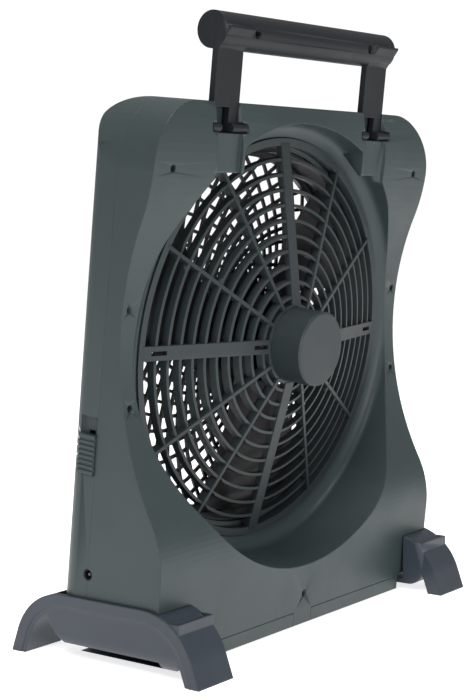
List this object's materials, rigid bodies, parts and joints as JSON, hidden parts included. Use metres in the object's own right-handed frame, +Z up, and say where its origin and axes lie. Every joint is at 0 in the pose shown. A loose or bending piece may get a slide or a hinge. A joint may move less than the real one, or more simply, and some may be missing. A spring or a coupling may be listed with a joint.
{
  "type": "box fan",
  "caption": "Portable box fan with a folding carry handle, tilting feet, domed rear grille and a battery base.",
  "frame": {"origin": "on the floor under the middle of the four toes of the feet", "axes": "+X to the side with the speed knob and the power socket, -Y is the front where the air leaves, +Y the rear where it enters, +Z up; the housing leans back 6.1 degrees at rest"},
  "size_m": [0.3104, 0.148, 0.3911],
  "materials": {
    "housing_plastic": "satin moulded plastic with a fine texture",
    "trim_plastic": "satin moulded plastic, blue-black",
    "grille_plastic": "satin moulded plastic",
    "black_plastic": "plain black plastic",
    "steel": "zinc plated",
    "brass": "bare",
    "copper": "varnished winding",
    "magnet": "ferrite, dull",
    "cell_wrap": "plain wrapped steel can",
    "wire_skin": "smooth insulation"
  },
  "bodies": {
    "housing": {"front_shell": "housing_plastic", "rear_shell": "housing_plastic", "front_grille": "grille_plastic", "front_badge": "trim_plastic", "rear_grille": "grille_plastic", "housing_screws": "steel", "motor_can": "steel", "motor_end_cap": "black_plastic", "motor_magnets": "magnet", "motor_bearings": "brass", "battery_box": "black_plastic", "battery_cells": "cell_wrap", "battery_springs": "steel", "contact_plates": "brass", "switch_body": "black_plastic", "dc_jack": "black_plastic", "dc_jack_pin": "steel", "motor_wires": "wire_skin", "fan_duct": "grille_plastic", "motor_housing": "grille_plastic"},
    "rotor": {"fan_blades": "black_plastic", "motor_shaft": "steel", "motor_armature": "copper", "shaft_nut": "brass"},
    "handle": {"handle_frame": "trim_plastic", "grip_front": "trim_plastic", "grip_screws": "steel"},
    "knob": {"switch_knob": "trim_plastic"},
    "foot_left": {"foot_left": "trim_plastic", "foot_screw_left": "steel"},
    "foot_right": {"foot_right": "trim_plastic", "foot_screw_right": "steel"},
    "door_left": {"battery_door_left": "housing_plastic"},
    "door_right": {"battery_door_right": "housing_plastic"}
  },
  "joints": [
    {"name": "rotor_spin", "type": "hinge", "parent": "housing", "child": "rotor", "pos_m": [0, 0.01679, 0.18711], "axis": [0, 0.9943, -0.1063], "continuous": true},
    {"name": "handle_fold", "type": "hinge", "parent": "housing", "child": "handle", "pos_m": [0, 0.0405, 0.32235], "axis": [-1, 0, 0], "range_deg": [0, 176]},
    {"name": "speed_switch", "type": "slide", "parent": "housing", "child": "knob", "axis": [0, 0.1063, 0.9943], "range_m": [0, 0.0105]},
    {"name": "foot_left_tilt", "type": "hinge", "parent": "housing", "child": "foot_left", "pos_m": [0.15, 0, 0.03], "axis": [1, 0, 0], "range_deg": [-12.2, 0]},
    {"name": "foot_right_tilt", "type": "hinge", "parent": "housing", "child": "foot_right", "pos_m": [-0.15, 0, 0.03], "axis": [1, 0, 0], "range_deg": [-12.2, 0]},
    {"name": "door_left", "type": "hinge", "parent": "housing", "child": "door_left", "pos_m": [0.064, -0.03375, 0.00972], "axis": [-1, 0, 0], "range_deg": [0, 90]},
    {"name": "door_right", "type": "hinge", "parent": "housing", "child": "door_right", "pos_m": [-0.064, -0.03375, 0.00972], "axis": [-1, 0, 0], "range_deg": [0, 90]}
  ]
}
